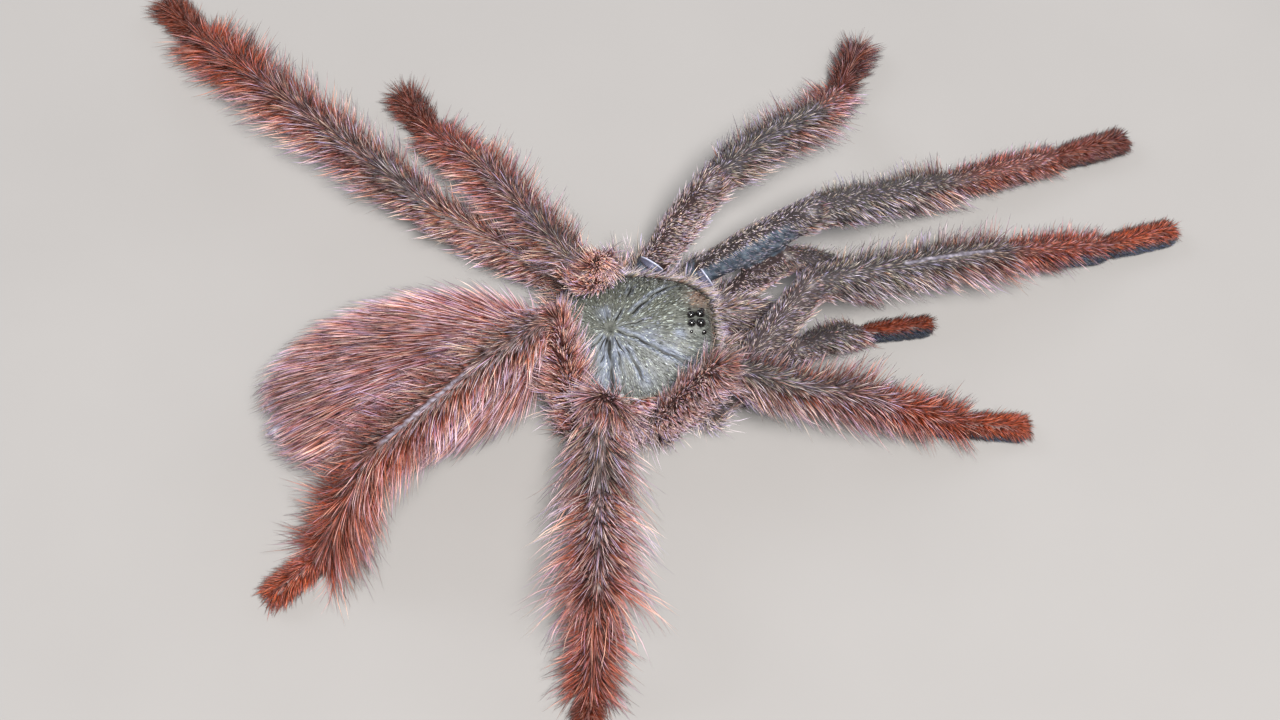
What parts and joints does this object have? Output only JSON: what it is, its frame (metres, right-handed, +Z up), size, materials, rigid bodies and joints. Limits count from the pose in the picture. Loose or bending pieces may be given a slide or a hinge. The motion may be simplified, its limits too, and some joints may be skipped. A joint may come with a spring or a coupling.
{
  "type": "tarantula",
  "caption": "Life-size still model of an orange-red tree-dwelling tarantula standing with its legs spread, for display.",
  "frame": {"origin": "middle of the footprint, on the floor", "axes": "+X towards the head, +Y towards the animal's left, +Z up"},
  "size_m": [0.1048, 0.0896, 0.023],
  "materials": {
    "shell": "olive grey carapace with a short silvery sheen",
    "leg_coat": "long rust-red hair with pale tips and a grey-brown line on top",
    "foot_coat": "dense bright orange hair, slate pads beneath",
    "body_coat": "salmon-rust hair combed to the rear",
    "mouth_coat": "grey-brown hair",
    "skin": "blue-grey matt skin",
    "spinneret": "pale grey matt skin",
    "horn": "glossy black horn",
    "eye": "glossy black"
  },
  "bodies": {
    "root": {"carapace": "shell", "sternum": "skin", "pedicel": "skin", "abdomen": "body_coat", "chelicera_right": "mouth_coat", "chelicera_left": "mouth_coat", "fang_right": "horn", "fang_left": "horn", "leg_right_1_coxa": "skin", "leg_right_1_femur": "leg_coat", "leg_right_1_tibia": "leg_coat", "leg_right_1_foot": "foot_coat", "leg_right_2_coxa": "skin", "leg_right_2_femur": "leg_coat", "leg_right_2_tibia": "leg_coat", "leg_right_2_foot": "foot_coat", "leg_right_3_coxa": "skin", "leg_right_3_femur": "leg_coat", "leg_right_3_tibia": "leg_coat", "leg_right_3_foot": "foot_coat", "leg_right_4_coxa": "skin", "leg_right_4_femur": "leg_coat", "leg_right_4_tibia": "leg_coat", "leg_right_4_foot": "foot_coat", "leg_left_1_coxa": "skin", "leg_left_1_femur": "leg_coat", "leg_left_1_tibia": "leg_coat", "leg_left_1_foot": "foot_coat", "leg_left_2_coxa": "skin", "leg_left_2_femur": "leg_coat", "leg_left_2_tibia": "leg_coat", "leg_left_2_foot": "foot_coat", "leg_left_3_coxa": "skin", "leg_left_3_femur": "leg_coat", "leg_left_3_tibia": "leg_coat", "leg_left_3_foot": "foot_coat", "leg_left_4_coxa": "skin", "leg_left_4_femur": "leg_coat", "leg_left_4_tibia": "leg_coat", "leg_left_4_foot": "foot_coat", "palp_right_coxa": "skin", "palp_right_femur": "leg_coat", "palp_right_tibia": "leg_coat", "palp_right_tarsus": "foot_coat", "palp_left_coxa": "skin", "palp_left_femur": "leg_coat", "palp_left_tibia": "leg_coat", "palp_left_tarsus": "foot_coat", "spinneret_right": "spinneret", "spinneret_left": "spinneret", "eye_front_middle_right": "eye", "eye_front_middle_left": "eye", "eye_front_side_right": "eye", "eye_front_side_left": "eye", "eye_rear_side_right": "eye", "eye_rear_side_left": "eye", "eye_rear_middle_right": "eye", "eye_rear_middle_left": "eye"}
  },
  "joints": []
}
